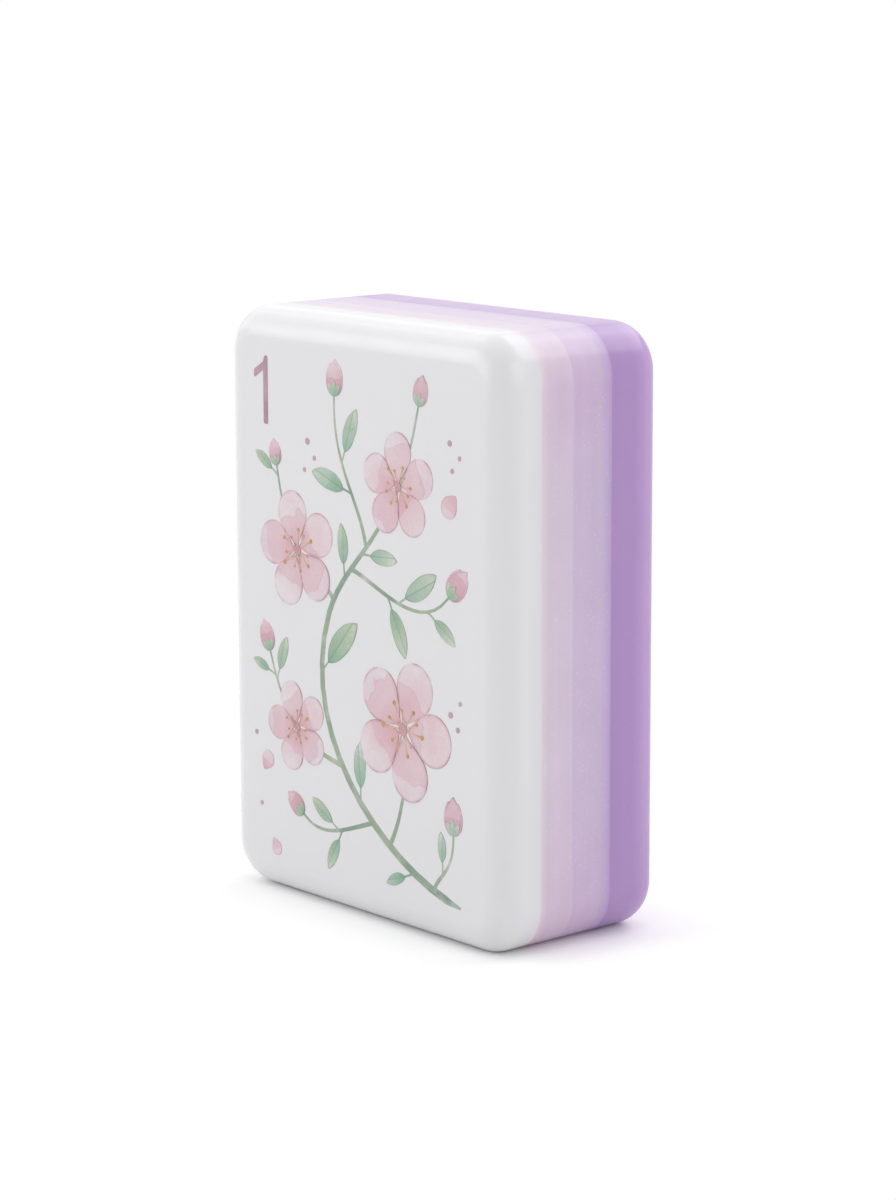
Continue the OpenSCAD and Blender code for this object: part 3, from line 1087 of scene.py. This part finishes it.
# %% Buds and sepals
BUD_SHAPE = {
    "middle": 0.40, "half_length": 0.40, "half_breadth": 0.304, "heart": 0.42,
    "pulls": ((1, (0.15, 0), 0.42), (1, (0.05, 0), 0.13))}
SEPAL_SHAPE = {
    "middle": 0.32, "half_length": 0.32, "half_breadth": 0.2304, "heart": 0.36, "corners": 20,
    "pulls": ((1, (0.30, 0), 0.5), (1, (0.06, 0), 0.15))}
BUD_ROUND = 0.8 * MM
BUD_LENGTH, BUD_BEHIND = 2.4, 0.88
BUD_LEAN, SEPAL_LEAN = math.radians(13), math.radians(38)
BUD_SIDES = ((1, BUD_BEHIND), (-1, BUD_BEHIND), (0, 1))
BUD_TONES, SEPAL_TONES = 0.43, (0.2, 0.5, 0.8)
SEPAL_SHARE = 0.42
INK_BUD, INK_SEPAL = 0.018 * MM, 0.030 * MM

bud, sepal = drawn_blank("bud", **BUD_SHAPE), drawn_blank("sepal", **SEPAL_SHAPE)
petals, cups = [], []
for stem, size in BUDS:
    turn = heading(stem, 1)
    foot = laid(along(stem, 1)) + INK_GAP * towards(turn)
    length = BUD_ROUND * BUD_LENGTH * size
    for k, (side, share) in enumerate(BUD_SIDES):
        lap = k * INK_LAP
        tone = tone_of(len(petals), BUD_TONES)
        petals.append(stamp(bud, foot, turn + side * BUD_LEAN, length * share, INK_BUD + lap, tone))
        cups.append(stamp(sepal, foot, turn + side * SEPAL_LEAN, length * SEPAL_SHARE, INK_SEPAL + lap,
                          SEPAL_TONES[k]))
print_piece("bud_print", petals, BUD_WASH, "bud_ink", "printed_buds")
print_piece("sepal_print", cups, LEAF_WASH, "leaf_ink")
drop(bud, sepal)

# %% [markdown]
# ## Stamens
# In the open blossoms a tuft of thin stamens fans out from the middle, each with a small gold anther. One
# pin is modelled: a disc for the anther, with a few points of its outline pulled out into the thread. The
# pins are printed over the petals at lengths and angles that vary a little.

# %% Stamens
STAMEN_LENGTH = (0.40, 0.30, 0.44, 0.34, 0.38, 0.28, 0.42, 0.33, 0.45, 0.31, 0.37)
STAMEN_SWAY = (3, -6, 5, 0, -4, 7, -2, 4, -5, 2, -3)
STAMENS = len(STAMEN_LENGTH)
ANTHER, ANTHER_CORNERS = 0.085, 16
THREAD_ROOT, THREAD_SHARE = 0.12, 0.67294
STAMEN_COLOURS = (
    (0.0, (0.66, 0.36, 0.38)), (0.55, (0.74, 0.52, 0.40)), (0.80, (0.62, 0.38, 0.16)),
    (0.95, (0.52, 0.28, 0.10)))
STAMEN_PALE = (0.78, 0.56, 0.30)
STAMEN_BAND = (0.4, 0.7, 0.0, 0.4)
INK_STAMEN = 0.034 * MM


def stamen_blank():
    """One unit long, from the blossom's middle to the end of the anther."""
    piece = start_disc("stamen", 1 - ANTHER, ANTHER, ANTHER_CORNERS)
    bpy.ops.mesh.select_mode(type='EDGE')
    back = 1 - 2 * ANTHER
    choose_edges(piece, lambda a, b: max(a.x, b.x) < back + ANTHER * THREAD_ROOT)
    bpy.ops.mesh.extrude_region_move(TRANSFORM_OT_translate={"value": (-back / 2, 0, 0)})
    bpy.ops.transform.resize(value=(0, THREAD_SHARE, 1), center_override=(back / 2, 0, 0))
    bpy.ops.mesh.extrude_region_move(TRANSFORM_OT_translate={"value": (-back / 2, 0, 0)})
    bpy.ops.mesh.select_mode(type='VERT')
    return thicken(piece)


def stamen_ink():
    made, tree, colour = start_ink("stamen_ink")
    body = ramp(tree, flat_map(tree)[0], *STAMEN_COLOURS)
    feed(tree, colour, mixed(tree, patches(tree, DRY_SCALE, 2, STAMEN_BAND), body, STAMEN_PALE))
    return made


stamen = stamen_blank()
pins = []
for middle, turn, size in blossom_places():
    for k in range(STAMENS):
        way = turn + k * math.tau / STAMENS + math.radians(STAMEN_SWAY[k])
        pins.append(stamp(stamen, middle, way, BLOSSOM_REACH * size * STAMEN_LENGTH[k], INK_STAMEN))
print_piece("stamen_print", pins, stamen_ink(), "bud_ink")
drop(stamen)

# %% [markdown]
# ## Eyes and specks
# A rose eye covers the place where the stamens of a blossom meet. Fallen pollen is painted as loose groups
# of tiny rose dots beside the blossoms. Both are the same small disc, so one blank serves for both.

# %% Eyes and specks
EYE_SHAPE = {
    "middle": 0, "half_length": 1, "half_breadth": 1, "heart": 0, "corners": 20, "pulls": ()}
EYE_SHARE = 0.085
SPECKS = [
    (-0.44, 0.66, 0.17), (-0.38, 0.60, 0.13), (-0.47, 0.55, 0.12), (0.78, 0.74, 0.15), (0.86, 0.69, 0.12),
    (0.80, 0.64, 0.13), (0.78, -0.26, 0.16), (0.86, -0.21, 0.12), (0.84, -0.31, 0.14), (0.02, -0.44, 0.11),
    (-0.94, -0.52, 0.13), (-0.90, -0.80, 0.12)]
SPECK_TURN, SPECK_TONES = 1.3, 0.41
INK_EYE, INK_SPECK = 0.036 * MM, 0.016 * MM
EYE_WASH = plain_wash("eye_wash", (0.60, 0.30, 0.36), (0.66, 0.36, 0.36), (0.44, 0.20, 0.22), 0.2)
SPECK_WASH = plain_wash("speck_wash", (0.56, 0.36, 0.46), (0.66, 0.42, 0.50), (0.42, 0.22, 0.32), 0.15)

eye = drawn_blank("eye", **EYE_SHAPE)
eyes, dots = [], []
for middle, turn, size in blossom_places():
    eyes.append(stamp(eye, middle, turn, BLOSSOM_REACH * size * EYE_SHARE, INK_EYE))
for number, (x, y, size) in enumerate(SPECKS):
    tone = tone_of(number, SPECK_TONES)
    dots.append(stamp(eye, laid((x, y)), number * SPECK_TURN, size * MM, INK_SPECK, tone))
print_piece("eye_print", eyes, EYE_WASH, "bud_ink")
print_piece("speck_print", dots, SPECK_WASH, "bud_ink")
drop(eye)

# %% [markdown]
# ## Numeral
# The corner carries the tile's plain number. A text object would bring a typeface with it, so the figure
# is modelled. A one is a bar with a flag: a plane becomes the bar, two cuts mark the piece of its side
# that is pulled out into the flag, the head is narrowed, and the outer corners are rounded like those of a
# pen stroke.

# %% Numeral
BAR_LOW, BAR_HIGH = Vector((-7.39, 9.18)) * MM, Vector((-7.05, 12.62)) * MM
FLAG_CUTS = (0.32 * MM, 0.74 * MM)
FLAG_REACH = Vector((-0.75, -0.44)) * MM
HEAD_IN = 0.11 * MM
PEN_ROUND, PEN_STEPS = 0.10 * MM, 4
NUMERAL_RIM = 0.6
INK_NUMERAL = 0.020 * MM
NUMERAL_WASH = plain_wash("numeral_wash", (0.49, 0.29, 0.35), (0.53, 0.32, 0.38), (0.36, 0.21, 0.26), 0.25)


def numeral_blank():
    size, middle = BAR_HIGH - BAR_LOW, (BAR_HIGH + BAR_LOW) / 2
    bpy.ops.object.select_all(action='DESELECT')
    bpy.ops.mesh.primitive_plane_add(size=1)
    piece = bpy.context.object
    piece.name = "numeral"
    bpy.ops.object.mode_set(mode='EDIT')
    bpy.ops.mesh.select_all(action='SELECT')
    bpy.ops.transform.resize(value=(*size, 1), center_override=(0, 0, 0))
    bpy.ops.transform.translate(value=(*middle, 0))
    for drop_by in FLAG_CUTS:
        bpy.ops.mesh.select_all(action='SELECT')
        bpy.ops.mesh.bisect(plane_co=(0, BAR_HIGH.y - drop_by, 0), plane_no=(0, 1, 0), threshold=TINY / 10)
    root_low, root_high = BAR_HIGH.y - FLAG_CUTS[1] - TINY, BAR_HIGH.y - FLAG_CUTS[0] + TINY
    bpy.ops.mesh.select_mode(type='EDGE')
    choose_edges(piece, lambda a, b: max(a.x, b.x) < BAR_LOW.x + TINY
                 and min(a.y, b.y) > root_low and max(a.y, b.y) < root_high)
    bpy.ops.mesh.extrude_region_move(TRANSFORM_OT_translate={"value": (*FLAG_REACH, 0)})
    bpy.ops.mesh.select_mode(type='VERT')
    choose(piece, lambda co: co.x < middle.x and co.y > root_high)
    bpy.ops.transform.translate(value=(HEAD_IN, 0, 0))
    flag = BAR_LOW.x + FLAG_REACH.x / 2
    choose(piece, lambda co: co.x < flag or co.y < middle.y or co.y > root_high)
    bpy.ops.mesh.bevel(offset=PEN_ROUND, segments=PEN_STEPS, affect='VERTICES')
    bpy.ops.mesh.select_all(action='SELECT')
    mark_rim(piece, NUMERAL_RIM)
    return thicken(piece)


numeral = numeral_blank()
figure = stamp(numeral, (0, 0), 0, 1, INK_NUMERAL)
print_piece("numeral_print", [figure], NUMERAL_WASH, "bud_ink")
drop(numeral)

# %% [markdown]
# ## View
# The colours are shown in the Standard view, with no tone curve over them.

# %% View
bpy.context.scene.view_settings.view_transform = 'Standard'
